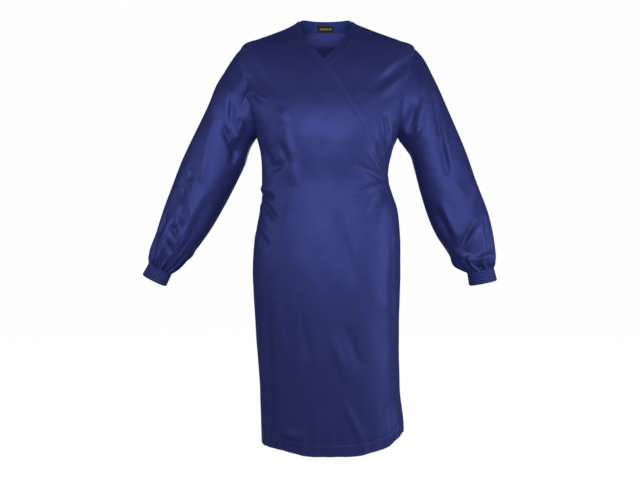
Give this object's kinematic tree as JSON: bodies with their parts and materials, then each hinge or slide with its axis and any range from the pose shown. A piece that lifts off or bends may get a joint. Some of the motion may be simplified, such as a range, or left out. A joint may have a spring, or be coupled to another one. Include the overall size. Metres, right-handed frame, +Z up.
{
  "type": "wrap-over work gown",
  "caption": "Wrap-over protective work gown with V neckline, long gathered sleeves, elasticated cuffs and waist ties that knot at the back.",
  "frame": {"origin": "middle of the neck opening, level with the two points where the shoulder seams meet the neckline", "axes": "+Z up the gown, the front faces -Y, +X towards the wearer's left"},
  "size_m": [0.8414, 0.2728, 1.0285],
  "materials": {
    "gown_twill": "satin",
    "facing_twill": "satin",
    "label_weave": "woven",
    "elastic": "matte"
  },
  "bodies": {
    "gown": {"back_panel": "gown_twill", "left_front_panel": "gown_twill", "right_front_side": "gown_twill", "left_front_facing": "facing_twill", "back_neck_facing": "facing_twill", "neck_label": "label_weave", "right_sleeve_head": "gown_twill", "left_sleeve_head": "gown_twill", "right_front_tie": "gown_twill", "left_front_tie": "gown_twill", "tie_knot": "gown_twill", "right_bow_loop": "gown_twill", "left_bow_loop": "gown_twill"},
    "right_upper_arm": {"right_sleeve_upper": "gown_twill"},
    "right_lower_arm": {"right_sleeve_lower": "gown_twill", "right_cuff": "gown_twill", "right_cuff_elastic": "elastic"},
    "left_upper_arm": {"left_sleeve_upper": "gown_twill"},
    "left_lower_arm": {"left_sleeve_lower": "gown_twill", "left_cuff": "gown_twill", "left_cuff_elastic": "elastic"},
    "wrap": {"right_front_wrap": "gown_twill", "right_front_facing": "facing_twill"},
    "right_tail": {"right_tie_tail": "gown_twill"},
    "left_tail": {"left_tie_tail": "gown_twill"}
  },
  "joints": [
    {"name": "right_shoulder", "type": "hinge", "parent": "gown", "child": "right_upper_arm", "pos_m": [-0.214, 0.002, -0.216], "axis": [0, 1, 0], "range_deg": [0, 60]},
    {"name": "left_shoulder", "type": "hinge", "parent": "gown", "child": "left_upper_arm", "pos_m": [0.2185, 0.002, -0.212], "axis": [0, -1, 0], "range_deg": [0, 60]},
    {"name": "right_elbow", "type": "hinge", "parent": "right_upper_arm", "child": "right_lower_arm", "pos_m": [-0.3, 0.004, -0.403], "axis": [-0.9144, 0, 0.4047], "range_deg": [0, 80]},
    {"name": "left_elbow", "type": "hinge", "parent": "left_upper_arm", "child": "left_lower_arm", "pos_m": [0.2935, 0.004, -0.396], "axis": [-0.9564, 0, -0.292], "range_deg": [0, 80]},
    {"name": "wrap_open", "type": "hinge", "parent": "gown", "child": "wrap", "pos_m": [-0.079, -0.126, 0.005], "axis": [-0.0341, 0, -0.9994], "range_deg": [0, 60], "deforming": ["right_front_tie"]},
    {"name": "right_tail_lift", "type": "hinge", "parent": "gown", "child": "right_tail", "pos_m": [-0.004, 0.102, -0.391], "axis": [1, 0, 0], "range_deg": [0, 80]},
    {"name": "left_tail_lift", "type": "hinge", "parent": "gown", "child": "left_tail", "pos_m": [0.004, 0.102, -0.391], "axis": [1, 0, 0], "range_deg": [0, 80]}
  ]
}
